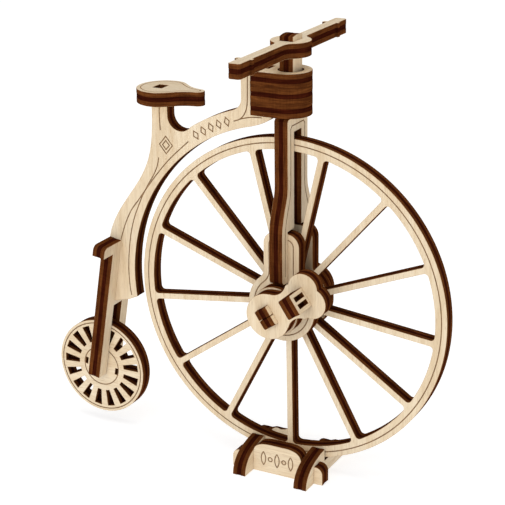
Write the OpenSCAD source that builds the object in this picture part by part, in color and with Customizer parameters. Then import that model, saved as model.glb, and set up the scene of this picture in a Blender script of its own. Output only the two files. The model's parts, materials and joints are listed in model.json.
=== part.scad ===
// Desk model of a high-wheel bicycle cut from one thickness of sheet, on a cradle stand.
// Frame: origin on the table, at the middle of the overall length and width; +X towards the
// front of the bicycle, +Y towards its left side, +Z up. Units are millimetres.

/* [Sheet] */
// thickness of every plate
sheet_t = 4; // [3:0.1:6]
// running gap between the big wheel and the plates beside it
side_gap = 0.2; // [0.1:0.05:0.5]

/* [Big wheel] */
// outside diameter of the big wheel
wheel_d = 93.8; // [80:0.1:110]
// radial width of its rim
rim_w = 3.4; // [2:0.1:6]
// number of spokes
spokes = 13; // [8:1:20]
// width of one spoke
spoke_w = 1.7; // [1:0.1:3]
// diameter of its hub
hub_d = 18.4; // [12:0.1:24]
// direction of the first spoke, from straight ahead
spoke_phase = 21.45; // [0:0.05:28]
// fillet where a spoke meets the rim
spoke_fillet = 1.1; // [0.5:0.1:2]
// inset of the scored ring on the rim
ring_inset = 1.6; // [1:0.1:3]
// height of the wheel centre above the table
axle_h = 50.4; // [45:0.1:60]

/* [Axle, cranks and pedals] */
// width of the axle strip
axle_w = 5.6; // [5:0.1:8]
// half of the axle length
axle_half = 16.1; // [15:0.1:20]
// diameter of the round hole the axle strip turns in
axle_bore_d = 7.0; // [6.9:0.01:7.2]
// diameter of the spacer washers
washer_d = 14; // [10:0.1:18]
// angle of the right crank above straight ahead
crank_angle = 34; // [0:0.5:90]
// distance from axle to pedal
crank_len = 12.1; // [9:0.1:16]
// diameter of the crank lobe on the axle
crank_lobe_d = 13; // [10:0.1:16]
// diameter of the twin lobes at the pedal end
crank_end_d = 8.6; // [6:0.1:10]
// how far a pedal stands out from the crank
pedal_out = 7.2; // [5:0.1:12]
// width of a pedal
pedal_w = 5.6; // [4:0.1:8]

/* [Front fork and bearing plates] */
// width of the upper fork
fork_w = 12; // [10:0.1:16]
// width of the fork at its feet
fork_foot_w = 18.8; // [16:0.1:24]
// top of the fork shoulder above the axle
fork_top = 52.9; // [50:0.1:56]
// top of the wheel slot above the axle
fork_slot_top = 48.9; // [48:0.1:52]
// foot of the fork above the axle
fork_foot = 7.4; // [5:0.1:10]
// width of the steering tab
steer_w = 5.6; // [5:0.1:8]
// top of the steering tab above the axle
steer_top = 74.8; // [72:0.1:78]
// diameter of the round hole the steering tab turns in
steer_bore_d = 7.0; // [6.9:0.01:7.2]
// diameter of the round end of a bearing plate
bearing_d = 20.2; // [18:0.1:24]
// width of the neck of a bearing plate
neck_w = 10.8; // [8:0.1:14]
// top of the neck above the axle
neck_top = 21.3; // [18:0.1:26]

/* [Handlebar] */
// length over the grips
bar_len = 63; // [50:0.1:80]
// width of the bar
bar_w = 3.1; // [2.5:0.1:5]
// width of the grips
grip_w = 3.4; // [2.5:0.1:5]
// length of a grip
grip_len = 5.6; // [4:0.1:12]
// diameter of the middle of the bar
bar_hub_d = 11; // [8:0.1:12]
// underside of the bar above the axle
bar_z = 69.2; // [67:0.1:72]

/* [Head rings] */
// underside of the lowest ring above the axle
ring_z = 53.2; // [52:0.1:56]
// diameter of the rounded front
ring_d = 12.8; // [11:0.1:15]
// distance from the steering axis to the square back
ring_back = 8.9; // [7:0.1:11]

/* [Backbone, saddle and rear end] */
// inside radius of the backbone
back_r = 50; // [48:0.1:54]
// width of the backbone in its middle
back_w = 5.3; // [4:0.1:8]
// top of the saddle above the axle
saddle_top = 56.4; // [54:0.1:60]
// lean of the rear fork
rear_lean = 9.6; // [5:0.1:15]
// rear wheel centre behind the big wheel centre
rear_x = 63.3; // [60:0.1:68]
// rear wheel centre below the big wheel centre
rear_z = 32.1; // [30:0.1:36]
// diameter of the rear wheel
rear_d = 29.4; // [25:0.1:34]
// number of windows in the rear wheel
windows = 17; // [10:1:24]
// diameter of the rear axle pin
rear_pin_d = 2.4; // [2:0.05:3]
// width over the rear fork legs
rear_fork_w = 12; // [10:0.1:14]
// width over the rear fork shoulder
rear_shoulder_w = 21.6; // [16:0.1:26]

/* [Stand] */
// length of the side plate
stand_len = 28.4; // [24:0.1:34]
// overall width of the cross plates
stand_w = 28.8; // [26:0.1:36]
// middle of a cross plate from the middle of the stand
cross_x = 9.6; // [8:0.1:12]
// middle of the side plate from the middle of the stand
side_y = 7.4; // [6:0.1:9]
// height of the cross plates
cross_h = 7.6; // [6:0.1:10]
// height of the ears of the arched side plate
ear_h = 5.2; // [4:0.1:7]
// height of the arched side plate
arch_h = 8.9; // [7:0.1:12]
// width of the notch for the wheel
notch_w = 4.8; // [4.4:0.1:6]
// floor of the notch above the table
notch_z = 4; // [3:0.1:4]

/* [Hidden] */
t = sheet_t;
rw = wheel_d / 2;
mid_x = (rear_x + rear_d / 2 - rw) / 2; // big wheel centre in front of the origin
tr = axle_h;                       // lifts wheel-centred shapes to the table frame
ri = rw - rim_w;
y_bear = t / 2 + side_gap;         // inner face of a bearing plate
y_wash = y_bear + t + side_gap;    // inner face of a washer
y_crank = y_wash + t;              // inner face of a crank
y_pedal = y_crank + t + pedal_out; // outer end of a pedal
wheel_pitch = 360 / spokes;
eps = 0.01;
$fn = 96;

pale = [0.86, 0.77, 0.64];
warm = [0.80, 0.70, 0.56];

// point list of an arc about c
function arc(c, r, a0, a1, n = 12) =
    [for (i = [0:n]) c + r * [cos(a0 + (a1 - a0) * i / n), sin(a0 + (a1 - a0) * i / n)]];
// cubic curve through its two end points
function bez(a, b, c, d, n = 10) = [for (i = [1:n]) let (s = i / n, u = 1 - s)
    u * u * u * a + 3 * u * u * s * b + 3 * u * s * s * c + s * s * s * d];
function mirror_y(p) = [for (i = [len(p) - 1:-1:0]) [p[i][0], -p[i][1]]];
function mirror_x(p) = [for (i = [len(p) - 1:-1:0]) [-p[i][0], p[i][1]]];
// closed outline from its right half, drawn from the bottom up
function both(p) = concat(p, mirror_x(p));
function turned(p) = [for (i = [len(p) - 1:-1:0]) p[i]];

// fills the corner between a straight edge at x = n and a circle of radius b
module corner_2d(n, b, f) {
    zc = sqrt(pow(b + f, 2) - pow(n + f, 2));
    k = (b - 0.3) / (b + f);
    difference() {
        polygon([[n - 0.3, zc * 0.5], [(n + f) * k, zc * k], [n + f, zc], [n - 0.3, zc]]);
        translate([n + f, zc]) circle(f);
    }
}
// plate in the plane of the wheels: drawing X is +X, drawing Y is +Z, from y0 to y0 + h
module side_plate(y0, h) {
    translate([0, y0 + h, 0]) rotate([90, 0, 0]) linear_extrude(h) children();
}
// plate square to the wheels: drawing X is +Y, drawing Y is +Z, from x0 to x0 + h
module cross_plate(x0, h) {
    translate([x0, 0, 0]) rotate([90, 0, 90]) linear_extrude(h) children();
}
module slab(p0, p1) {
    translate(p0) cube(p1 - p0);
}

// ---- big wheel -------------------------------------------------------------
module spoke_fillet_2d() {
    // fills the corner between the +Y side of a spoke along +X and the rim
    f = spoke_fillet;
    yc = spoke_w / 2 + f;
    xc = sqrt(pow(ri - f, 2) - yc * yc);
    a = atan2(yc, xc);
    difference() {
        polygon([[xc, spoke_w / 2 - 0.3], [ri + 0.4, spoke_w / 2 - 0.3],
            [(ri + 0.4) * cos(a), (ri + 0.4) * sin(a)], [xc, yc]]);
        translate([xc, yc]) circle(f);
    }
}
module wheel_2d() {
    difference() { circle(rw, $fn = 240); circle(ri, $fn = 240); }
    circle(hub_d / 2);
    for (k = [0:spokes - 1]) rotate(spoke_phase + k * wheel_pitch) {
        translate([hub_d / 2 - 1, -spoke_w / 2]) square([ri - hub_d / 2 + 1.6, spoke_w]);
        spoke_fillet_2d();
        mirror([0, 1]) spoke_fillet_2d();
    }
}
module axle_hole_2d() {
    rotate(crank_angle) square([t, axle_w], center = true);
}
module scored_ring(r, y) {
    // shallow round groove, 0.4 wide and 0.2 deep, in a face at y
    rotate([90, 0, 0]) translate([0, 0, -y]) rotate_extrude($fn = 180)
        translate([r - 0.2, -0.2]) square([0.4, 0.4]);
}
module big_wheel() {
    color(pale) translate([mid_x, 0, tr]) difference() {
        side_plate(-t / 2, t) difference() { wheel_2d(); axle_hole_2d(); }
        scored_ring(rw - ring_inset, -t / 2);
        scored_ring(rw - ring_inset, t / 2);
    }
}

// ---- axle, washers, cranks, pedals ----------------------------------------
module front_axle() {
    color(warm) translate([mid_x, 0, tr]) rotate([0, -crank_angle, 0]) difference() {
        slab([-t / 2, -axle_half, -axle_w / 2], [t / 2, axle_half, axle_w / 2]);
        for (s = [-1, 1]) translate([-t, s * axle_half - 1.6, -0.1]) cube([2 * t, 3.2, 0.2]);
    }
}
module washer(y0) {
    color(pale) translate([mid_x, 0, tr]) side_plate(y0, t) difference() {
        circle(washer_d / 2);
        axle_hole_2d();
    }
}
module washer_right() { washer(-y_wash - t); }
module washer_left() { washer(y_wash); }

module crank_2d() {
    difference() {
        union() {
            circle(crank_lobe_d / 2);
            for (s = [-1, 1]) translate([crank_len + 2, s * 2.25]) circle(crank_end_d / 2);
            difference() {
                translate([1.6, -5.2]) square([crank_len - 0.6, 10.4]);
                for (s = [-1, 1]) translate([7, s * 8.2]) circle(4.2);
            }
        }
        square([t, axle_w], center = true);
        translate([crank_len, 0]) square([t, pedal_w], center = true);
    }
}
module crank_right() {
    color(pale) translate([mid_x, 0, tr]) side_plate(-y_crank - t, t) rotate(crank_angle) crank_2d();
}
module crank_left() {
    color(pale) translate([mid_x, 0, tr]) side_plate(y_crank, t) rotate(crank_angle + 180) crank_2d();
}
module pedal(s) {
    // strip whose ply runs square to the crank arm, with two long windows
    rotate([0, -crank_angle, 0]) translate([-s * crank_len, 0, 0]) difference() {
        slab([-t / 2, min(s * y_crank, s * y_pedal), -pedal_w / 2],
            [t / 2, max(s * y_crank, s * y_pedal), pedal_w / 2]);
        for (q = [-1, 1]) translate([0, s * (y_pedal - 3.9), q * 1.05])
            cube([2 * t, 5.0, 1.3], center = true);
    }
}
module pedal_right() { color(warm) translate([mid_x, 0, tr]) pedal(-1); }
module pedal_left() { color(warm) translate([mid_x, 0, tr]) pedal(1); }

// ---- front fork ------------------------------------------------------------
fy = fork_w / 2;
ff = fork_foot_w / 2;
slot_y = y_bear;
lap_y = y_bear + t;
fork_edge = concat(
    arc([0, steer_top - 10], 10, 88, 74, 5),
    [[steer_w / 2, fork_top], [fy - 0.6, fork_top], [fy, fork_top - 0.6], [fy, 34.5]],
    bez([fy, 34.5], [fy, 29.8], [ff, 27.6], [ff, 20.5], 14),
    arc([ff - 1.4, fork_foot + 1.4], 1.4, 0, -90, 6),
    [[lap_y, fork_foot], [lap_y, neck_top + 0.6]],
    [[slot_y, neck_top + 0.6], [slot_y, fork_slot_top]]);
module front_fork() {
    color(pale) translate([mid_x, 0, tr]) union() {
        cross_plate(-t / 2, t) polygon(both(turned(fork_edge)));
        // tenons into the necks of the bearing plates
        for (s = [-1, 1]) slab([-t / 2, s > 0 ? y_bear : -lap_y - 0.5, 11.6],
            [t / 2, s > 0 ? lap_y + 0.5 : -y_bear, 18.4]);
    }
}

// ---- bearing plates --------------------------------------------------------
module bearing_2d() {
    n = neck_w / 2;
    b = bearing_d / 2;
    difference() {
        union() {
            circle(b);
            polygon(both(concat([[n, 0]], arc([n - 3.6, neck_top - 3.6], 3.6, 0, 86, 10))));
            corner_2d(n, b, 3);
            mirror([1, 0]) corner_2d(n, b, 3);
        }
        circle(axle_bore_d / 2);
        translate([-t / 2, 11.6]) square([t, 6.8]);
    }
}
module bearing_plate(s) {
    color(pale) translate([mid_x, 0, tr]) difference() {
        side_plate(s > 0 ? y_bear : -lap_y, t) bearing_2d();
        scored_ring(bearing_d / 2 - 1.7, s * lap_y);
    }
}
module bearing_plate_right() { bearing_plate(-1); }
module bearing_plate_left() { bearing_plate(1); }

// ---- handlebar -------------------------------------------------------------
module handlebar() {
    h = bar_w / 2;
    g = grip_w / 2;
    e = bar_len / 2;
    yg = e - grip_len;
    b = bar_hub_d / 2;
    front = [[h, yg - 1.2], [g + 0.5, yg - 1.2], [g + 0.5, yg], [g, yg], [g, e - 0.5], [g - 0.5, e]];
    rear = [[0.5 - g, e], [-g, e - 0.5], [-g, yg], [-g - 1, yg], [-g - 1, yg - 1.2], [-h, yg - 1.2]];
    // fillet of radius 3 between the bar and its round middle
    f = 3;
    yc = sqrt(pow(b + f, 2) - pow(h + f, 2));
    a = atan2(yc, h + f);
    fil = arc([h + f, yc], f, 174 + a, 180, 7);
    upper = concat(fil, front, rear, mirror_x(fil));
    color(pale) translate([mid_x, 0, tr + bar_z]) linear_extrude(t) difference() {
        polygon(concat(arc([0, 0], b, -a, a, 24), upper, arc([0, 0], b, 180 - a, 180 + a, 24),
            mirror_y(upper)));
        square([t, steer_w], center = true);
    }
}

// ---- head rings ------------------------------------------------------------
module ring_2d() {
    r = ring_d / 2;
    difference() {
        union() {
            translate([-0.7, 0]) circle(r);
            translate([-ring_back, -r]) square([ring_back - 0.7, 2 * r]);
        }
        circle(steer_bore_d / 2);
        translate([-ring_back - 1, -t / 2]) square([ring_back + 1 - 5.6, t]);
    }
}
module head_ring(k) {
    color(pale) translate([mid_x, 0, tr + ring_z + k * t]) linear_extrude(t) ring_2d();
}
module head_ring_bottom() { head_ring(0); }
module head_ring_middle() { head_ring(1); }
module head_ring_top() { head_ring(2); }

// ---- backbone --------------------------------------------------------------
// rear fork drawing: origin on the rear axle, u along the legs, w towards the front
ux = sin(rear_lean);
uz = cos(rear_lean);
function rf(u, w) = [-rear_x + u * ux + w * uz, -rear_z + u * uz - w * ux];
rf_top = 42.6;
rf_lap = 30.4;
ro = back_r + back_w;
backbone_edge = concat(
    arc([0, 0], back_r, 188.2, 103, 40),
    bez(back_r * [cos(103), sin(103)], [-9, 49.4], [-6.4, 50.2], [-4.7, 51.9], 6),
    [[-4.7, ring_z], [-5.6, ring_z], [-5.6, ring_z + 3 * t], [-14.1, ring_z + 3 * t]],
    [[-14.1, 56.2]],
    bez([-14.1, 56.2], [-14.1, 54.4], [-15.0, 53.4], ro * [cos(107.8), sin(107.8)], 8),
    arc([0, 0], ro, 109.0, 123.0, 8),
    arc([-33.3, 48.9], 4.1, -42, -180, 14),
    [[-37.4, saddle_top - t], [-39.0, saddle_top - t], [-39.0, saddle_top - 0.8],
        [-42.0, saddle_top - 0.8], [-42.0, saddle_top - t], [-42.4, saddle_top - t]],
    bez([-42.4, saddle_top - t], [-42.4, 40], [-43.2, 35.2], [-48.0, 28.0], 14),
    bez([-48.0, 28.0], [-52.0, 22.2], [-57.0, 16.6], rf(rf_top, -t / 2), 14),
    [rf(rf_lap, -t / 2), rf(rf_lap, t / 2), rf(23.0, t / 2), [-52.2, -8.4]]);
module backbone() {
    color(pale) translate([mid_x, 0, tr]) side_plate(-t / 2, t) polygon(backbone_edge);
}

// ---- saddle ----------------------------------------------------------------
saddle_half = concat(
    arc([-39.5, 0], 7.6, 180, 90, 20),
    bez([-39.5, 7.6], [-35.0, 7.6], [-34.6, 2.9], [-28.5, 1.9], 16),
    arc([-28.5, 0], 1.9, 84, 0, 8));
module saddle() {
    color(pale) translate([mid_x, 0, tr + saddle_top - t]) linear_extrude(t) difference() {
        polygon(concat(saddle_half, mirror_y(saddle_half)));
        translate([-42.0, -t / 2]) square([3.0, t]);
    }
}

// ---- rear fork -------------------------------------------------------------
module rear_fork_2d() {
    s = rear_shoulder_w / 2;
    l = rear_fork_w / 2;
    polygon(both(concat([[slot_y, 21.4], [slot_y, -1.8], [l, -1.8], [l, 39.3], [s, 39.3]],
        arc([s - 1.6, rf_top - 1.6], 1.6, 0, 90, 6), [[t / 2, rf_top], [t / 2, rf_lap]])));
}
module rear_fork() {
    color(pale) translate([mid_x - rear_x, 0, tr - rear_z]) rotate([0, rear_lean, 0]) difference() {
        cross_plate(-t / 2, t) rear_fork_2d();
        rotate([90, 0, 0]) cylinder(d = rear_pin_d, h = 2 * (slot_y + 2.6), center = true, $fn = 48);
    }
}
module rear_axle_pin() {
    color(warm) translate([mid_x - rear_x, 0, tr - rear_z]) rotate([90, 0, 0])
        cylinder(d = rear_pin_d, h = 2 * (slot_y + 2.6), center = true, $fn = 48);
}

// ---- rear wheel ------------------------------------------------------------
module window_2d() {
    // one tapered window, radial from 7.9 to 12.9
    polygon([[7.9, -0.62], [12.9, -1.25], [12.9, 1.25], [7.9, 0.62]]);
}
module rear_wheel() {
    color(pale) translate([mid_x - rear_x, 0, tr - rear_z]) difference() {
        side_plate(-t / 2, t) difference() {
            circle(rear_d / 2, $fn = 160);
            for (k = [0:windows - 1]) rotate(k * 360 / windows + 7.7) window_2d();
            circle(d = rear_pin_d + 0.1, $fn = 48);
            for (s = [-1, 1]) rotate(-rear_lean) translate([s * 5.3 - 0.45, -1.05]) square([0.9, 2.1]);
        }
        scored_ring(rear_d / 2 - 0.9, -t / 2);
        scored_ring(rear_d / 2 - 0.9, t / 2);
        scored_ring(5.95, -t / 2);
    }
}

// ---- stand -----------------------------------------------------------------
module cross_profile_2d() {
    h = stand_w / 2;
    n = notch_w / 2;
    near = concat([[h, 0]], bez([h, 0], [h - 0.2, 5.6], [8.4, 6.9], [n, cross_h], 16),
        [[n, notch_z]]);
    // the far foot sweeps down to a low toe
    far = concat([[h, 0]], bez([h, 0], [h, 1.7], [h - 0.2, 2.4], [h - 1.2, 2.9], 6),
        bez([h - 1.2, 2.9], [h - 3.4, 3.7], [h - 5.4, 4.4], [h - 6.8, 5.3], 8),
        bez([h - 6.8, 5.3], [h - 8.2, 6.3], [h - 9.4, 7.3], [n, cross_h], 8),
        [[n, notch_z]]);
    difference() {
        polygon(concat(far, mirror_x(near)));
        translate([-side_y - t / 2, -1]) square([t, 1 + ear_h / 2]);
    }
}
module stand_cross_plate(x) {
    color(pale) cross_plate(mid_x + x - t / 2, t) cross_profile_2d();
}
module stand_cross_plate_front() { stand_cross_plate(cross_x); }
module stand_cross_plate_rear() { stand_cross_plate(-cross_x); }

i = cross_x - t / 2;
arched_half = concat([[stand_len / 2, 0]],
    arc([stand_len / 2 - 2.1, ear_h - 2.1], 2.1, 0, 90, 8),
    [[i + t, ear_h], [i + t, ear_h / 2], [i, ear_h / 2], [i, ear_h + 0.2]],
    bez([i, ear_h + 0.2], [i, arch_h - 0.6], [i - 2.6, arch_h], [2.2, arch_h], 10));
module stand_side_plate() {
    color(pale) translate([mid_x, 0, 0]) side_plate(-side_y - t / 2, t)
        polygon(both(arched_half));
}

big_wheel();
front_axle();
washer_right();
washer_left();
crank_right();
crank_left();
pedal_right();
pedal_left();
front_fork();
bearing_plate_right();
bearing_plate_left();
handlebar();
head_ring_bottom();
head_ring_middle();
head_ring_top();
backbone();
saddle();
rear_fork();
rear_axle_pin();
rear_wheel();
stand_side_plate();
stand_cross_plate_front();
stand_cross_plate_rear();
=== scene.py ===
import json
import math

import bpy
from mathutils import Matrix, Vector
from mathutils.geometry import delaunay_2d_cdt


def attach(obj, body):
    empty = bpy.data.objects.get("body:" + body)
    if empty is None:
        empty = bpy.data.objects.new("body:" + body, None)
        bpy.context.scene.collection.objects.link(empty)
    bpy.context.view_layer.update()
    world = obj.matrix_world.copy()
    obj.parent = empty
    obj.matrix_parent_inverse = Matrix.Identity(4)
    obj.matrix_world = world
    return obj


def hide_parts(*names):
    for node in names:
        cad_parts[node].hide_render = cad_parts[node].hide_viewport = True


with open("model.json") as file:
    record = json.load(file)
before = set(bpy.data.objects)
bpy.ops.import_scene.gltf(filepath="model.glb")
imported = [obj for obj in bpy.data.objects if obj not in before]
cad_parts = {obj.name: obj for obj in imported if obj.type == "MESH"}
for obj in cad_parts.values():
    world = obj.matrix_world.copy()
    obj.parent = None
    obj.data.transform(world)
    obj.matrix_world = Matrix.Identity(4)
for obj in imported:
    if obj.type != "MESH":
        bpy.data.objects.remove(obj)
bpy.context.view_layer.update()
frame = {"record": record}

BODY = {n: b for b, ns in frame["record"]["behaviour"]["bodies"].items() for n in ns}

# ---------------------------------------------------------------- sizes, mm
T = 4.0
TR = 50.4      # axle above the table
MX = 15.55     # axle in front of the origin
RW, RI, HUB = 46.9, 43.5, 9.2
SPOKES, PHASE, SPOKE_W, SPOKE_F = 13, 21.45, 1.7, 1.1
CRANK = 34.0
CRANK_LEN = 12.1
AXLE_W, AXLE_HALF = 5.6, 16.1
Y_BEAR = 2.2
Y_WASH = 6.4
Y_CRANK = 10.4
Y_PEDAL = 21.6
RING_Z = 53.2
SADDLE_TOP = 56.4
REAR_X, REAR_Z, LEAN = 63.3, 32.1, 9.6


def lin(c):
    c = c / 255.0
    return c / 12.92 if c <= 0.04045 else ((c + 0.055) / 1.055) ** 2.4


def rgb(r, g, b):
    return (lin(r), lin(g), lin(b), 1.0)


# ---------------------------------------------------------------- materials
def node(nt, kind, **kw):
    n = nt.nodes.new(kind)
    for k, v in kw.items():
        setattr(n, k, v)
    return n


def new_mat(name):
    m = bpy.data.materials.new(name)
    m.use_nodes = True
    nt = m.node_tree
    nt.nodes.clear()
    out = node(nt, "ShaderNodeOutputMaterial")
    bs = node(nt, "ShaderNodeBsdfPrincipled")
    nt.links.new(bs.outputs[0], out.inputs[0])
    return m, nt, bs


def mapped(nt, rot, waves):
    """Object coordinates turned into the plate's own axes and divided by the wavelengths, in mm."""
    tc = node(nt, "ShaderNodeTexCoord")
    mp = node(nt, "ShaderNodeMapping", vector_type="TEXTURE")
    mp.inputs["Rotation"].default_value = rot
    mp.inputs["Scale"].default_value = [w / 1000 for w in waves]
    nt.links.new(tc.outputs["Object"], mp.inputs["Vector"])
    return mp.outputs[0]


def noise(nt, vec, detail=3.0, rough=0.55, dist=0.0):
    n = node(nt, "ShaderNodeTexNoise")
    n.inputs["Scale"].default_value = 1.0
    n.inputs["Detail"].default_value = detail
    n.inputs["Roughness"].default_value = rough
    n.inputs["Distortion"].default_value = dist
    nt.links.new(vec, n.inputs["Vector"])
    return n.outputs["Fac"]


def ramp(nt, fac, stops):
    r = node(nt, "ShaderNodeValToRGB")
    el = r.color_ramp.elements
    while len(el) < len(stops):
        el.new(0.5)
    for e, (p, c) in zip(el, stops):
        e.position = p
        e.color = c
    nt.links.new(fac, r.inputs[0])
    return r.outputs[0]


def mix(nt, fac, a, b, blend="MIX"):
    m = node(nt, "ShaderNodeMix", data_type="RGBA", blend_type=blend)
    if isinstance(fac, float):
        m.inputs[0].default_value = fac
    else:
        nt.links.new(fac, m.inputs[0])
    for s, v in ((m.inputs[6], a), (m.inputs[7], b)):
        if isinstance(v, tuple):
            s.default_value = v
        else:
            nt.links.new(v, s)
    return m.outputs[2]


def bump(nt, bs, height, strength, dist_mm):
    b = node(nt, "ShaderNodeBump")
    b.inputs["Strength"].default_value = strength
    b.inputs["Distance"].default_value = dist_mm / 1000
    nt.links.new(height, b.inputs["Height"])
    nt.links.new(b.outputs[0], bs.inputs["Normal"])


W = (1, 1, 1, 1)
K = (0, 0, 0, 1)


def grey(v):
    return (v, v, v, 1.0)


def face_mat(key, rot):
    """Pale birch veneer: soft figure, fine fibres and short pores along the grain."""
    m, nt, bs = new_mat("birch_face_" + key)
    figure = noise(nt, mapped(nt, rot, (46, 4.6, 7)), 4, 0.6, 0.9)
    fibre = noise(nt, mapped(nt, rot, (7.5, 0.42, 0.8)), 4, 0.62, 0.25)
    pores = noise(nt, mapped(nt, rot, (2.6, 0.20, 0.9)), 2, 0.5)
    cloud = noise(nt, mapped(nt, rot, (17, 13, 11)), 2, 0.5)
    base = ramp(nt, figure, [(0.30, rgb(219, 196, 162)), (0.50, rgb(230, 211, 181)), (0.72, rgb(238, 223, 197))])
    base = mix(nt, ramp(nt, fibre, [(0.34, grey(0.42)), (0.56, grey(0.0))]), base, rgb(200, 174, 139))
    base = mix(nt, ramp(nt, pores, [(0.30, grey(0.46)), (0.39, grey(0.0))]), base, rgb(168, 128, 88))
    base = mix(nt, ramp(nt, cloud, [(0.35, grey(0.22)), (0.62, grey(0.0))]), base, rgb(221, 196, 161))
    nt.links.new(base, bs.inputs["Base Color"])
    nt.links.new(ramp(nt, fibre, [(0.3, grey(0.74)), (0.7, grey(0.56))]), bs.inputs["Roughness"])
    bs.inputs["Specular IOR Level"].default_value = 0.12
    bump(nt, bs, fibre, 0.35, 0.035)
    return m


def edge_mat(key, rot, which):
    """Laser-cut edge: scorched plies with fine striations across the sheet and soot."""
    m, nt, bs = new_mat("cut_%s_%s" % (which, key))
    stri = noise(nt, mapped(nt, rot, (0.38, 0.38, 9)), 3, 0.6)
    band = noise(nt, mapped(nt, rot, (5.5, 5.5, 0.42)), 4, 0.6, 0.3)
    soot = noise(nt, mapped(nt, rot, (7, 7, 5)), 3, 0.55)
    if which == "outer":
        lo, mid, hi, dark = rgb(70, 35, 15), rgb(95, 52, 23), rgb(124, 73, 35), rgb(46, 18, 8)
    else:
        lo, mid, hi, dark = rgb(40, 11, 5), rgb(57, 19, 9), rgb(78, 31, 14), rgb(26, 7, 4)
    base = ramp(nt, band, [(0.30, lo), (0.50, mid), (0.74, hi)])
    base = mix(nt, ramp(nt, stri, [(0.32, grey(0.26)), (0.56, grey(0.0))]), base, dark)
    base = mix(nt, ramp(nt, soot, [(0.36, grey(0.26)), (0.60, grey(0.0))]), base, dark)
    nt.links.new(base, bs.inputs["Base Color"])
    nt.links.new(ramp(nt, stri, [(0.3, grey(0.80)), (0.7, grey(0.60))]), bs.inputs["Roughness"])
    bs.inputs["Specular IOR Level"].default_value = 0.0
    bump(nt, bs, stri, 0.5, 0.05)
    return m


def rim_mat(key, rot):
    """The chamfer between face and edge, browned by the cut."""
    m, nt, bs = new_mat("cut_rim_" + key)
    n = noise(nt, mapped(nt, rot, (2.2, 2.2, 2.2)), 3, 0.6)
    base = ramp(nt, n, [(0.32, rgb(160, 122, 84)), (0.66, rgb(198, 164, 124))])
    nt.links.new(base, bs.inputs["Base Color"])
    bs.inputs["Roughness"].default_value = 0.7
    bs.inputs["Specular IOR Level"].default_value = 0.03
    bump(nt, bs, n, 0.3, 0.03)
    return m


def score_mat(key, rot):
    """Floor and walls of a scored line."""
    m, nt, bs = new_mat("scored_" + key)
    n = noise(nt, mapped(nt, rot, (1.1, 1.1, 1.1)), 3, 0.6)
    base = ramp(nt, n, [(0.32, rgb(128, 98, 70)), (0.68, rgb(168, 136, 102))])
    nt.links.new(base, bs.inputs["Base Color"])
    bs.inputs["Roughness"].default_value = 0.85
    bs.inputs["Specular IOR Level"].default_value = 0.02
    bump(nt, bs, n, 0.3, 0.03)
    return m


_groups = {}


def group(key, grain, normal):
    """The five materials of a plate whose veneer runs along grain and whose normal is normal."""
    if key not in _groups:
        x = Vector(grain).normalized()
        z = Vector(normal).normalized()
        y = z.cross(x)
        rot = Matrix((x, y, z)).transposed().to_euler()
        _groups[key] = [face_mat(key, rot), rim_mat(key, rot), edge_mat(key, rot, "outer"),
                        edge_mat(key, rot, "core"), score_mat(key, rot)]
    return _groups[key]


# ---------------------------------------------------------------- drawing, mm
def arc(c, r, a0, a1, n):
    return [(c[0] + r * math.cos(math.radians(a0 + (a1 - a0) * i / n)),
             c[1] + r * math.sin(math.radians(a0 + (a1 - a0) * i / n))) for i in range(n + 1)]


def circle(c, r, n, cw=False):
    p = arc(c, r, 0, 360, n)[:-1]
    return p[::-1] if cw else p


def bez(a, b, c, d, n):
    out = []
    for i in range(1, n + 1):
        s = i / n
        u = 1 - s
        out.append(tuple(u * u * u * a[k] + 3 * u * u * s * b[k] + 3 * u * s * s * c[k] + s * s * s * d[k] for k in (0, 1)))
    return out


def smooth(pts, n=7):
    """Catmull-Rom curve through the points."""
    p = [pts[0]] + list(pts) + [pts[-1]]
    out = [tuple(pts[0])]
    for i in range(1, len(p) - 2):
        a, b, c, d = p[i - 1], p[i], p[i + 1], p[i + 2]
        for j in range(1, n + 1):
            s = j / n
            out.append(tuple(0.5 * (2 * b[k] + (c[k] - a[k]) * s + (2 * a[k] - 5 * b[k] + 4 * c[k] - d[k]) * s * s
                                    + (3 * b[k] - a[k] - 3 * c[k] + d[k]) * s ** 3) for k in (0, 1)))
    return out


def mirror_x(p):
    return [(-x, y) for x, y in reversed(p)]


def mirror_y(p):
    return [(x, -y) for x, y in reversed(p)]


def both(p):
    return list(p) + mirror_x(p)


def turn(p, a):
    c, s = math.cos(math.radians(a)), math.sin(math.radians(a))
    return [(x * c - y * s, x * s + y * c) for x, y in p]


def shift(p, dx, dy):
    return [(x + dx, y + dy) for x, y in p]


def rect(w, h):
    return [(-w / 2, -h / 2), (w / 2, -h / 2), (w / 2, h / 2), (-w / 2, h / 2)]


def area(p):
    return 0.5 * sum(p[i - 1][0] * p[i][1] - p[i][0] * p[i - 1][1] for i in range(len(p)))


def clean(p, eps=1e-4):
    out = []
    for q in p:
        if not out or math.dist(q, out[-1]) > eps:
            out.append(q)
    while len(out) > 2 and math.dist(out[0], out[-1]) <= eps:
        out.pop()
    return out


def inset(p, d):
    """Closed loop moved to its left by d, with mitred corners."""
    n = len(p)
    out = []
    for i in range(n):
        a, b, c = p[i - 1], p[i], p[(i + 1) % n]
        u = (b[0] - a[0], b[1] - a[1])
        v = (c[0] - b[0], c[1] - b[1])
        lu, lv = math.hypot(*u) or 1, math.hypot(*v) or 1
        n1 = (-u[1] / lu, u[0] / lu)
        n2 = (-v[1] / lv, v[0] / lv)
        m = (n1[0] + n2[0], n1[1] + n2[1])
        k = 1 + n1[0] * n2[0] + n1[1] * n2[1]
        k = max(k, 0.35)
        out.append((b[0] + d * m[0] / k, b[1] + d * m[1] / k))
    return out


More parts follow.
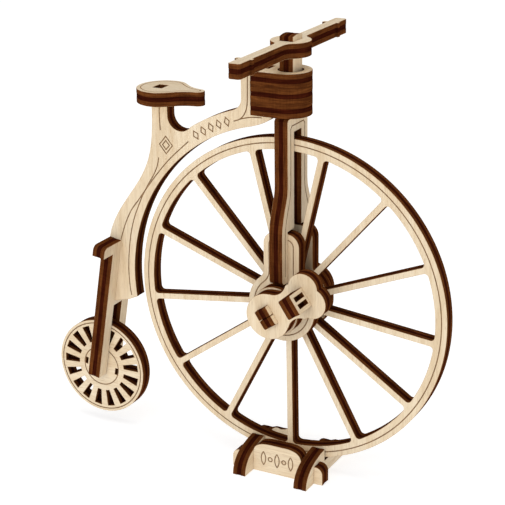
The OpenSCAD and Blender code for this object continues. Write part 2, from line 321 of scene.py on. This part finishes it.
def stroke_loops(path, w, closed):
    h = w / 2
    if closed:
        p = clean(path)
        return [inset(p, h), inset(p, -h)]
    p = []
    for q in path:
        if not p or math.dist(q, p[-1]) > 1e-4:
            p.append(q)
    left, right = [], []
    for i in range(len(p)):
        a = p[max(i - 1, 0)]
        b = p[i]
        c = p[min(i + 1, len(p) - 1)]
        if i == 0:
            a = (2 * b[0] - c[0], 2 * b[1] - c[1])
        if i == len(p) - 1:
            c = (2 * b[0] - a[0], 2 * b[1] - a[1])
        u = (b[0] - a[0], b[1] - a[1])
        v = (c[0] - b[0], c[1] - b[1])
        lu, lv = math.hypot(*u), math.hypot(*v)
        n1 = (-u[1] / lu, u[0] / lu)
        n2 = (-v[1] / lv, v[0] / lv)
        m = (n1[0] + n2[0], n1[1] + n2[1])
        k = max(1 + n1[0] * n2[0] + n1[1] * n2[1], 0.35)
        left.append((b[0] + h * m[0] / k, b[1] + h * m[1] / k))
        right.append((b[0] - h * m[0] / k, b[1] - h * m[1] / k))
    return [left + right[::-1]]


def inside(pt, loop):
    x, y = pt
    c = False
    j = len(loop) - 1
    for i in range(len(loop)):
        xi, yi = loop[i]
        xj, yj = loop[j]
        if (yi > y) != (yj > y) and x < (xj - xi) * (y - yi) / (yj - yi) + xi:
            c = not c
        j = i
    return c


def on_path(pt, segs, r2):
    x, y = pt
    for ax, ay, bx, by in segs:
        dx, dy = bx - ax, by - ay
        s = ((x - ax) * dx + (y - ay) * dy) / (dx * dx + dy * dy or 1)
        s = 0 if s < 0 else 1 if s > 1 else s
        ex, ey = x - ax - s * dx, y - ay - s * dy
        if ex * ex + ey * ey <= r2:
            return True
    return False


BEV = 0.07      # chamfer between face and cut edge
CORE = 0.045    # how far the scorched core stands back
GROOVE = 0.16   # depth of a scored line


def cap(loops, paths, w):
    """Planar triangles of the face: (points, face triangles, scored triangles)."""
    pts, edges, ranges = [], [], []
    for lp in loops:
        s = len(pts)
        pts += lp
        edges += [(s + i, s + (i + 1) % len(lp)) for i in range(len(lp))]
    nloop = len(pts)
    segs = []
    for path, closed in paths:
        for lp in stroke_loops(path, w, closed):
            s = len(pts)
            pts += lp
            edges += [(s + i, s + (i + 1) % len(lp)) for i in range(len(lp))]
        q = list(path) + ([path[0]] if closed else [])
        segs += [(q[i][0], q[i][1], q[i + 1][0], q[i + 1][1]) for i in range(len(q) - 1)]
    v, e, f, ov, oe, of = delaunay_2d_cdt([Vector(p) for p in pts], edges, [], 0, 1e-6)
    v = [(a.x, a.y) for a in v]
    where = {}
    for i, src in enumerate(ov):
        for k in src:
            where[k] = i
    outer, holes = loops[0], loops[1:]
    bb = [(min(x for x, y in h), max(x for x, y in h), min(y for x, y in h), max(y for x, y in h)) for h in holes]
    plain, scored = [], []
    r2 = (w / 2 * 1.04) ** 2
    sb = [(min(s[0], s[2]) - w, max(s[0], s[2]) + w, min(s[1], s[3]) - w, max(s[1], s[3]) + w, s) for s in segs]
    for t in f:
        for k in range(1, len(t) - 1):
            tri = (t[0], t[k], t[k + 1])
            ar = area([v[i] for i in tri])
            if abs(ar) < 1e-9:
                continue
            if ar < 0:
                tri = tri[::-1]
            c = (sum(v[i][0] for i in tri) / 3, sum(v[i][1] for i in tri) / 3)
            if not inside(c, outer):
                continue
            if any(b[0] < c[0] < b[1] and b[2] < c[1] < b[3] and inside(c, h) for b, h in zip(bb, holes)):
                continue
            near = [s[4] for s in sb if s[0] < c[0] < s[1] and s[2] < c[1] < s[3]]
            (scored if near and on_path(c, near, r2) else plain).append(tri)
    return v, [where[i] for i in range(nloop)], plain, scored


def plate(name, outer, holes, M, mats, t=T, top=(), bottom=(), w=0.34):
    """A laser-cut plate. outer and holes are closed loops in mm, M takes (x, y, z) in mm to the row
    frame in mm, z runs through the sheet. top and bottom are scored lines [(path, closed), ...]."""
    outer = clean(outer)
    if area(outer) < 0:
        outer = outer[::-1]
    loops = [outer]
    for h in holes:
        h = clean(h)
        loops.append(h if area(h) < 0 else h[::-1])
    h2 = t / 2
    p1, p2 = t / 6 + 0.03, t / 6 - 0.03
    prof = [(h2, BEV), (h2 - BEV, 0.0), (p1, 0.0), (p2, CORE), (-p2, CORE), (-p1, 0.0), (BEV - h2, 0.0), (-h2, BEV)]
    ring_mat = [1, 2, 2, 3, 2, 2, 1]
    verts, faces, mat = [], [], []
    rings = []
    for lp in loops:
        rows = []
        for z, d in prof:
            q = inset(lp, d) if d else lp
            rows.append(list(range(len(verts), len(verts) + len(q))))
            verts += [(x, y, z) for x, y in q]
        for r in range(len(prof) - 1):
            a, b = rows[r], rows[r + 1]
            n = len(lp)
            for i in range(n):
                j = (i + 1) % n
                faces.append((a[i], b[i], b[j], a[j]))
                mat.append(ring_mat[r])
        rings.append(rows)
    for side, lines in ((1, top), (-1, bottom)):
        row = 0 if side > 0 else -1
        ins = [inset(lp, BEV) for lp in loops]
        v, order, plain, scored = cap(ins, lines, w)
        idx = {}
        flat = [i for rows in rings for i in rows[row]]
        for k, ci in enumerate(order):
            idx[ci] = flat[k]
        z = side * h2

        def at(i):
            if i not in idx:
                idx[i] = len(verts)
                verts.append((v[i][0], v[i][1], z))
            return idx[i]

        for tri in plain:
            tri = [at(i) for i in tri]
            faces.append(tuple(tri if side > 0 else tri[::-1]))
            mat.append(0)
        if scored:
            low = {}

            def deep(i):
                if i not in low:
                    low[i] = len(verts)
                    verts.append((v[i][0], v[i][1], z - side * GROOVE))
                return low[i]

            half = {}
            for tri in scored:
                q = [deep(i) for i in tri]
                faces.append(tuple(q if side > 0 else q[::-1]))
                mat.append(4)
                for a, b in ((tri[0], tri[1]), (tri[1], tri[2]), (tri[2], tri[0])):
                    half[(a, b)] = True
            for a, b in half:
                if (b, a) not in half:
                    q = (at(a), at(b), deep(b), deep(a))
                    faces.append(q[::-1] if side > 0 else q)
                    mat.append(4)
    me = bpy.data.meshes.new(name)
    R = M.to_3x3()
    flip = R.determinant() < 0
    me.from_pydata([(M @ Vector(p)) / 1000 for p in verts], [], [f[::-1] if flip else f for f in faces])
    for m in mats:
        me.materials.append(m)
    me.polygons.foreach_set("material_index", mat)
    me.validate(clean_customdata=False)
    me.shade_smooth()
    me.set_sharp_from_angle(angle=math.radians(24))
    ob = bpy.data.objects.new(name, me)
    bpy.context.scene.collection.objects.link(ob)
    return ob


def piece(ob, cad):
    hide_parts(cad)
    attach(ob, BODY[cad])
    return ob


def M_side(y):      # drawing x is +X, drawing y is +Z, middle of the sheet at y
    return Matrix(((1, 0, 0, MX), (0, 0, -1, y), (0, 1, 0, TR), (0, 0, 0, 1)))


def M_cross(x, z=TR):     # drawing x is +Y, drawing y is +Z
    return Matrix(((0, 0, 1, MX + x), (1, 0, 0, 0), (0, 1, 0, z), (0, 0, 0, 1)))


def M_flat(z):
    return Matrix.Translation((MX, 0, z))


def M_turn(a):      # about the Y axis through the wheel centre, a above straight ahead
    return Matrix.Translation((MX, 0, TR)) @ Matrix.Rotation(math.radians(-a), 4, "Y")


SIDE = group("side", (0, 0, 1), (0, 1, 0))
SIDE_X = group("side_x", (1, 0, 0), (0, 1, 0))
CROSS = group("cross", (0, 0, 1), (1, 0, 0))
CROSS_Y = group("cross_y", (0, 1, 0), (1, 0, 0))
FLAT_Y = group("flat_y", (0, 1, 0), (0, 0, 1))
FLAT_X = group("flat_x", (1, 0, 0), (0, 0, 1))
ca, sa = math.cos(math.radians(CRANK)), math.sin(math.radians(CRANK))
STRIP = group("strip", (0, 1, 0), (ca, 0, sa))
cl, sl = math.cos(math.radians(LEAN)), math.sin(math.radians(LEAN))
REAR = group("rear", (sl, 0, cl), (cl, 0, -sl))
DOWEL = group("dowel", (0, 1, 0), (1, 0, 0))

# ---------------------------------------------------------------- big wheel
hw = SPOKE_W / 2
yc = hw + SPOKE_F
xc = math.sqrt((RI - SPOKE_F) ** 2 - yc * yc)
fa = math.degrees(math.atan2(yc, xc))
ha = math.degrees(math.asin(hw / HUB))
side_up = [(HUB * math.cos(math.radians(ha)), hw), (xc, hw)] + arc((xc, yc), SPOKE_F, -90, fa, 12)[1:]
pitch = 360 / SPOKES
axle_hole = turn(rect(T, AXLE_W), CRANK)
wheel_holes = [axle_hole]
for k in range(SPOKES):
    a0 = PHASE + k * pitch
    h = turn(side_up, a0)
    h += arc((0, 0), RI, a0 + fa, a0 + pitch - fa, 26)[1:-1]
    h += turn(mirror_y(side_up), a0 + pitch)
    h += arc((0, 0), HUB, a0 + pitch - ha, a0 + ha, 10)[1:-1]
    wheel_holes.append(h)
ring = [(circle((0, 0), RW - 1.6, 300), True)]
piece(plate("big_wheel_ply", circle((0, 0), RW, 320), wheel_holes, M_side(0), SIDE, top=ring, bottom=ring), "big_wheel")

# ---------------------------------------------------------------- axle, washers, cranks, pedals
e, hwa = AXLE_HALF, AXLE_W / 2
axle_half = [(-e + 0.35, -hwa), (e - 0.35, -hwa), (e, -hwa + 0.35), (e, -0.1), (e - 1.6, -0.1), (e - 1.6, 0.1), (e, 0.1), (e, hwa - 0.35), (e - 0.35, hwa)]
axle_out = axle_half[1:] + [(-x, -y) for x, y in axle_half[1:]]
M_strip = M_turn(CRANK) @ Matrix(((0, 0, 1, 0), (1, 0, 0, 0), (0, 1, 0, 0), (0, 0, 0, 1)))
piece(plate("axle_strip", axle_out, [], M_strip, STRIP), "front_axle")
for s, tag in ((-1, "right"), (1, "left")):
    piece(plate("washer_%s_ply" % tag, circle((0, 0), 7.0, 96), [axle_hole], M_side(s * (Y_WASH + 2)), SIDE), "washer_" + tag)

lobe, wall, rend, rwst = 6.5, 5.2, 4.3, 4.2
end_c = (CRANK_LEN + 2.0, 2.25)
wst_c = (7.0, 8.2)
a_main = math.degrees(math.atan2(wall, math.sqrt(lobe ** 2 - wall ** 2)))
a_w = math.degrees(math.atan2(wall - wst_c[1], math.sqrt(rwst ** 2 - (wall - wst_c[1]) ** 2)))
a_e0 = math.degrees(math.atan2(wall - end_c[1], -math.sqrt(rend ** 2 - (wall - end_c[1]) ** 2)))
a_e1 = math.degrees(math.atan2(-end_c[1], math.sqrt(rend ** 2 - end_c[1] ** 2)))
upper = arc(end_c, rend, a_e1, a_e0, 40) + arc(wst_c, rwst, a_w, -180 - a_w, 22) + arc((0, 0), lobe, a_main, 180, 40)
crank_out = clean(upper + mirror_y(upper))
crank_holes = [rect(T, AXLE_W), shift(rect(T, 5.6), CRANK_LEN, 0)]
for s, tag, extra in ((-1, "right", 0), (1, "left", 180)):
    a = CRANK + extra
    piece(plate("crank_%s_ply" % tag, turn(crank_out, a), [turn(h, a) for h in crank_holes], M_side(s * (Y_CRANK + 2)), SIDE), "crank_" + tag)
    y0, y1 = sorted((s * Y_CRANK, s * Y_PEDAL))
    c = 0.3
    if s < 0:
        out = [(y0 + c, -2.8), (y1, -2.8), (y1, 2.8), (y0 + c, 2.8), (y0, 2.8 - c), (y0, -2.8 + c)]
    else:
        out = [(y0, -2.8), (y1 - c, -2.8), (y1, -2.8 + c), (y1, 2.8 - c), (y1 - c, 2.8), (y0, 2.8)]
    wy = s * (Y_PEDAL - 3.9)
    holes = [shift(rect(5.0, 1.3), wy, q * 1.05) for q in (-1, 1)]
    Mp = M_turn(CRANK) @ Matrix.Translation((-s * CRANK_LEN, 0, 0)) @ Matrix(((0, 0, 1, 0), (1, 0, 0, 0), (0, 1, 0, 0), (0, 0, 0, 1)))
    piece(plate("pedal_%s_ply" % tag, out, holes, Mp, STRIP), "pedal_" + tag)

# ---------------------------------------------------------------- front fork
fork_right = (arc((0, 64.8), 10, 88, 74, 8)
              + [(2.8, 52.9), (5.4, 52.9), (6.0, 52.3), (6.0, 34.5)]
              + bez((6, 34.5), (6, 29.8), (9.4, 27.6), (9.4, 20.5), 26)
              + arc((8.0, 8.8), 1.4, 0, -90, 10)
              + [(6.2, 7.4), (6.2, 11.6), (2.2, 11.6), (2.2, 18.4), (6.2, 18.4), (6.2, 21.9), (2.2, 21.9), (2.2, 48.9)])
fork_line = ([(7.6, 9.4), (7.6, 20.0)] + bez((7.6, 20.0), (7.6, 26.9), (4.2, 29.1), (4.2, 34.2), 24) + [(4.2, 50.0), (3.5, 50.8)])
fork_line = [(fork_line + mirror_x(fork_line), False)]
piece(plate("front_fork_ply", both(fork_right[::-1]), [], M_cross(0), CROSS, top=fork_line, bottom=fork_line), "front_fork")

# ---------------------------------------------------------------- bearing plates
n_, b_, f_ = 5.4, 10.1, 3.0
zc = math.sqrt((b_ + f_) ** 2 - (n_ + f_) ** 2)
ab = math.degrees(math.atan2(zc, n_ + f_))
neck = arc((n_ + f_, zc), f_, 180 + ab, 180, 10) + arc((n_ - 3.6, 17.7), 3.6, 0, 90, 14)
bear_out = clean(arc((0, 0), b_, -180 - ab, ab, 110) + neck + mirror_x(neck))
bear_line = [(inset(bear_out, 1.7), True)]
for s, tag in ((-1, "right"), (1, "left")):
    piece(plate("bearing_plate_%s_ply" % tag, bear_out, [circle((0, 0), 3.5, 64), shift(rect(T, 6.8), 0, 15.0)],
                M_side(s * (Y_BEAR + 2)), SIDE, **({"top": bear_line} if s < 0 else {"bottom": bear_line})), "bearing_plate_" + tag)

# ---------------------------------------------------------------- handlebar
h_, g_, e_, b_, f_ = 1.55, 1.7, 31.5, 5.5, 3.0
yg = e_ - 5.6
yc = math.sqrt((b_ + f_) ** 2 - (h_ + f_) ** 2)
ab = math.degrees(math.atan2(yc, h_ + f_))
fil = arc((h_ + f_, yc), f_, 180 + ab, 180, 10)
front = [(h_, yg - 1.2), (g_ + 0.5, yg - 1.2), (g_ + 0.5, yg), (g_, yg), (g_, e_ - 0.5), (g_ - 0.5, e_)]
rear = [(0.5 - g_, e_), (-g_, e_ - 0.5), (-g_, yg), (-g_ - 1, yg), (-g_ - 1, yg - 1.2), (-h_, yg - 1.2)]
upper = fil + front + rear + mirror_x(fil)
bar = clean(arc((0, 0), b_, -ab, ab, 40) + upper + arc((0, 0), b_, 180 - ab, 180 + ab, 40) + mirror_y(upper))
piece(plate("handlebar_ply", bar, [rect(T, 5.6)], M_flat(TR + 69.2 + 2), FLAT_Y), "handlebar")

# ---------------------------------------------------------------- head rings
r_ = 6.4
ring_out = ([(-8.9, -r_)] + arc((-0.7, 0), r_, -90, 90, 72) + [(-8.9, r_)])
ring_out += [(-8.9, 2.0), (-5.6, 2.0), (-5.6, -2.0), (-8.9, -2.0)]
for k, tag in enumerate(("bottom", "middle", "top")):
    g = FLAT_Y if k != 1 else FLAT_X
    piece(plate("head_ring_%s_ply" % tag, ring_out, [circle((0, 0), 3.5, 64)], M_flat(TR + RING_Z + 4 * k + 2),
                [g[0], g[2], g[2], g[3], g[4]]), "head_ring_" + tag)

# ---------------------------------------------------------------- backbone
ux, uz = sl, cl


def rf(u, w):
    return (-REAR_X + u * ux + w * uz, -REAR_Z + u * uz - w * ux)


def pol(r, a):
    return (r * math.cos(math.radians(a)), r * math.sin(math.radians(a)))


RB, RO = 50.0, 55.3
backbone = (arc((0, 0), RB, 188.2, 103, 110) + bez(pol(RB, 103), (-9, 49.4), (-6.4, 50.2), (-4.7, 51.9), 12)
            + [(-4.7, RING_Z), (-5.6, RING_Z), (-5.6, RING_Z + 12), (-14.1, RING_Z + 12), (-14.1, 56.2)]
            + bez((-14.1, 56.2), (-14.1, 54.4), (-15.0, 53.4), pol(RO, 107.8), 14)
            + arc((0, 0), RO, 109.0, 123.0, 24) + arc((-33.3, 48.9), 4.1, -42, -180, 30)
            + [(-37.4, SADDLE_TOP - T), (-39.0, SADDLE_TOP - T), (-39.0, SADDLE_TOP - 0.8), (-42.0, SADDLE_TOP - 0.8),
               (-42.0, SADDLE_TOP - T), (-42.4, SADDLE_TOP - T)]
            + bez((-42.4, SADDLE_TOP - T), (-42.4, 40), (-43.2, 35.2), (-48.0, 28.0), 26)
            + bez((-48.0, 28.0), (-52.0, 22.2), (-57.0, 16.6), rf(42.6, -2), 24)
            + [rf(30.4, -2), rf(30.4, 2), rf(23.0, 2), (-52.2, -8.4)])


def t4(*pts):
    return [(4 * x, 4 * y) for x, y in pts]


lines = [
    (smooth(t4((-9.97, 12.85), (-9.99, 12.3), (-9.97, 11.6), (-9.95, 11.1))), False),
    (smooth(t4((-7.7, 10.55), (-9.0, 9.35), (-9.8, 8.5), (-10.5, 7.65), (-11.3, 6.6), (-12.0, 5.65), (-12.6, 4.85), (-13.08, 3.9), (-13.4, 3.05), (-13.6, 2.45))), False),
    (smooth(t4((-10.15, 9.1), (-10.3, 8.45), (-10.62, 7.75), (-11.12, 6.95), (-11.62, 6.05), (-12.05, 5.1), (-12.42, 4.15), (-12.7, 3.1), (-12.88, 2.0), (-12.99, 0.9), (-13.02, 0.0), (-12.96, -1.1), (-12.86, -1.75))), False),
    (smooth(t4((-4.1, 12.42), (-3.62, 12.62), (-3.28, 12.98), (-3.08, 13.5), (-3.02, 14.2), (-3.0, 15.85))), False),
    (smooth(t4((-3.66, 12.6), (-3.2, 12.74), (-2.6, 12.86), (-1.95, 12.9))), False),
]
# plain lozenges along the upper arc and on the seat post
for a in (122.6, 119.6, 116.6, 113.6, 110.6):
    lz = [(0, 1.25), (-0.8, 0), (0, -1.25), (0.8, 0)]
    lines.append((shift(turn(lz, a - 90), *pol(52.65, a)), True))
for q in (2.1, 1.1):
    lines.append((shift([(0, q * 1.2), (-q, 0), (0, -q * 1.2), (q, 0)], -38.1, 40.3), True))
piece(plate("backbone_ply", backbone, [], M_side(0), SIDE, top=lines, bottom=lines), "backbone")

# ---------------------------------------------------------------- saddle
sad = (arc((-39.5, 0), 7.6, 180, 90, 44) + bez((-39.5, 7.6), (-35.0, 7.6), (-34.6, 2.9), (-28.5, 1.9), 34)
       + arc((-28.5, 0), 1.9, 84, 0, 14))
sad = clean(sad + mirror_y(sad))
if area(sad) < 0:
    sad = sad[::-1]
piece(plate("saddle_ply", sad, [shift(rect(3.0, T), -40.5, 0)], M_flat(TR + SADDLE_TOP - 2), FLAT_X[:4] + [FLAT_X[1]],
            top=[(inset(sad, 1.2), True)], w=0.3), "saddle")

# ---------------------------------------------------------------- rear fork
M_rear = (Matrix.Translation((MX - REAR_X, 0, TR - REAR_Z)) @ Matrix.Rotation(math.radians(LEAN), 4, "Y")
          @ Matrix(((0, 0, 1, 0), (1, 0, 0, 0), (0, 1, 0, 0), (0, 0, 0, 1))))
rear_right = ([(2.2, 21.4), (2.2, -1.8), (6.0, -1.8), (6.0, 39.3), (10.8, 39.3)]
              + arc((9.2, 41.0), 1.6, 0, 90, 12) + [(2.0, 42.6), (2.0, 30.4)])
piece(plate("rear_fork_ply", both(rear_right), [], M_rear, REAR), "rear_fork")

# ---------------------------------------------------------------- rear wheel
win = [(7.9, -0.62), (12.9, -1.25), (12.9, 1.25), (7.9, 0.62)]
holes = [turn(win, 7.7 + k * 360 / 17) for k in range(17)] + [circle((0, 0), 1.25, 40)]
for s in (-1, 1):
    holes.append(turn(shift(rect(0.9, 2.1), s * 5.3, 0), -LEAN))
rl = [(circle((0, 0), 13.8, 140), True)]
M_rw = Matrix.Translation((-REAR_X, 0, -REAR_Z)) @ M_side(0)
piece(plate("rear_wheel_ply", circle((0, 0), 14.7, 180), holes, M_rw, SIDE_X, top=rl + [(circle((0, 0), 5.96, 80), True)], bottom=rl), "rear_wheel")

# ---------------------------------------------------------------- stand
hw2, nn = 14.4, 2.4
near = [(hw2, 0)] + bez((hw2, 0), (hw2 - 0.2, 5.6), (8.4, 6.9), (nn, 7.6), 34) + [(nn, 4.0)]
far = ([(hw2, 0)] + bez((hw2, 0), (hw2, 1.7), (hw2 - 0.2, 2.4), (hw2 - 1.2, 2.9), 12)
       + bez((hw2 - 1.2, 2.9), (hw2 - 3.4, 3.7), (hw2 - 5.4, 4.4), (hw2 - 6.8, 5.3), 16)
       + bez((hw2 - 6.8, 5.3), (hw2 - 8.2, 6.3), (hw2 - 9.4, 7.3), (nn, 7.6), 16) + [(nn, 4.0)])
prof = far + mirror_x(near)
prof += [(-9.4, 0), (-9.4, 2.6), (-5.4, 2.6), (-5.4, 0)]
for x, tag in ((9.6, "front"), (-9.6, "rear")):
    piece(plate("stand_cross_%s_ply" % tag, prof, [], M_cross(x, 0), CROSS_Y), "stand_cross_plate_" + tag)
i_ = 7.6
arched = ([(14.2, 0)] + arc((12.1, 3.1), 2.1, 0, 90, 16) + [(i_ + T, 5.2), (i_ + T, 2.6), (i_, 2.6), (i_, 5.4)]
          + bez((i_, 5.4), (i_, 8.3), (i_ - 2.6, 8.9), (2.2, 8.9), 20))
orn = []
for x in (-4.3, 0.0, 4.3):
    v = arc((-1.82, 0), 2.72, -42, 42, 16)
    half = [(x + p - 0.2, 4.35 + q * 1.12) for p, q in v]
    orn.append((clean(half + [(2 * x - p, q) for p, q in reversed(half)]), True))
for x in (-2.15, 2.15):
    orn.append((circle((x, 4.35), 0.62, 24), True))
piece(plate("stand_side_ply", both(arched), [], Matrix.Translation((0, 0, -TR)) @ M_side(-7.4), SIDE_X, top=orn), "stand_side_plate")

# ---------------------------------------------------------------- rear axle pin
PIN_R, PIN_H, n = 1.2, 4.8, 40
prof = [(-PIN_H, 0.0), (-PIN_H, PIN_R - 0.2), (0.2 - PIN_H, PIN_R), (PIN_H - 0.2, PIN_R), (PIN_H, PIN_R - 0.2), (PIN_H, 0.0)]
verts, faces, mat = [], [], []
for y, r in prof[1:-1]:
    verts += [(MX - REAR_X + r * math.cos(2 * math.pi * i / n), y, TR - REAR_Z + r * math.sin(2 * math.pi * i / n)) for i in range(n)]
for r in range(3):
    for i in range(n):
        j = (i + 1) % n
        faces.append((r * n + i, r * n + j, (r + 1) * n + j, (r + 1) * n + i)[::-1])
        mat.append((1, 0, 1)[r])
faces += [tuple(range(n)), tuple(range(3 * n, 4 * n))[::-1]]
mat += [3, 3]
me = bpy.data.meshes.new("rear_axle_dowel")
me.from_pydata([Vector(v) / 1000 for v in verts], [], faces)
for m in DOWEL:
    me.materials.append(m)
me.polygons.foreach_set("material_index", mat)
me.validate(clean_customdata=False)
me.shade_smooth()
me.set_sharp_from_angle(angle=math.radians(24))
pin = bpy.data.objects.new("rear_axle_dowel", me)
sc = bpy.context.scene
sc.collection.objects.link(pin)
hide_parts("rear_axle_pin")
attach(pin, BODY["rear_axle_pin"])

# ---------------------------------------------------------------- floor, light, camera
fm = bpy.data.meshes.new("floor")
S = 6.0
fm.from_pydata([(-S, -S, 0), (S, -S, 0), (S, S, 0), (-S, S, 0)], [], [(0, 1, 2, 3)])
fo = bpy.data.objects.new("floor", fm)
fo.location = (0, 0, -0.00005)
m, nt, bs = new_mat("floor_white")
bs.inputs["Base Color"].default_value = (0.56, 0.56, 0.56, 1)
bs.inputs["Roughness"].default_value = 0.9
bs.inputs["Specular IOR Level"].default_value = 0.0
bs.inputs["Emission Color"].default_value = (1, 1, 1, 1)
bs.inputs["Emission Strength"].default_value = 0.68
fm.materials.append(m)
sc.collection.objects.link(fo)

world = bpy.data.worlds.new("studio")
sc.world = world
world.use_nodes = True
nt = world.node_tree
tc = node(nt, "ShaderNodeTexCoord")
sep = node(nt, "ShaderNodeSeparateXYZ")
nt.links.new(tc.outputs["Generated"], sep.inputs[0])
sky = ramp(nt, sep.outputs[2], [(0.10, grey(1.0)), (0.42, grey(0.38))])
nt.links.new(sky, nt.nodes["Background"].inputs[0])
nt.nodes["Background"].inputs[1].default_value = 1.0


def area_light(name, loc, target, size, power):
    ld = bpy.data.lights.new(name, "AREA")
    ld.shape = "DISK"
    ld.size = size
    ld.energy = power
    o = bpy.data.objects.new(name, ld)
    o.location = loc
    d = Vector(target) - Vector(loc)
    o.rotation_euler = d.to_track_quat("-Z", "Y").to_euler()
    sc.collection.objects.link(o)
    return o


area_light("key", (-0.05, -1.10, 0.62), (0, 0, 0.06), 0.8, 3.9)
area_light("top", (0.05, -0.15, 1.2), (0, 0, 0.05), 0.9, 5.2)

cam = bpy.data.cameras.new("camera")
co = bpy.data.objects.new("camera", cam)
right = Vector((0.88339814, 0.46850257, -0.01063316))
down = Vector((0.15003774, -0.30425804, -0.94069959))
fwd = Vector((-0.4439554, 0.8294169, -0.33907406))
R = Matrix((right, -down, -fwd)).transposed()
R = R @ Matrix.Rotation(0.00026, 3, "Y") @ Matrix.Rotation(0.0002, 3, "X")
co.matrix_world = Matrix.Translation((0.17826872 + MX / 1000, -0.35548844, 0.20751853)) @ R.to_4x4()
cam.sensor_width = 36.0
cam.lens = 1535.07 * 36.0 / 505.0
cam.clip_start = 0.01
cam.clip_end = 30.0
sc.collection.objects.link(co)
sc.camera = co
sc.view_settings.view_transform = "Standard"
sc.view_settings.look = "None"
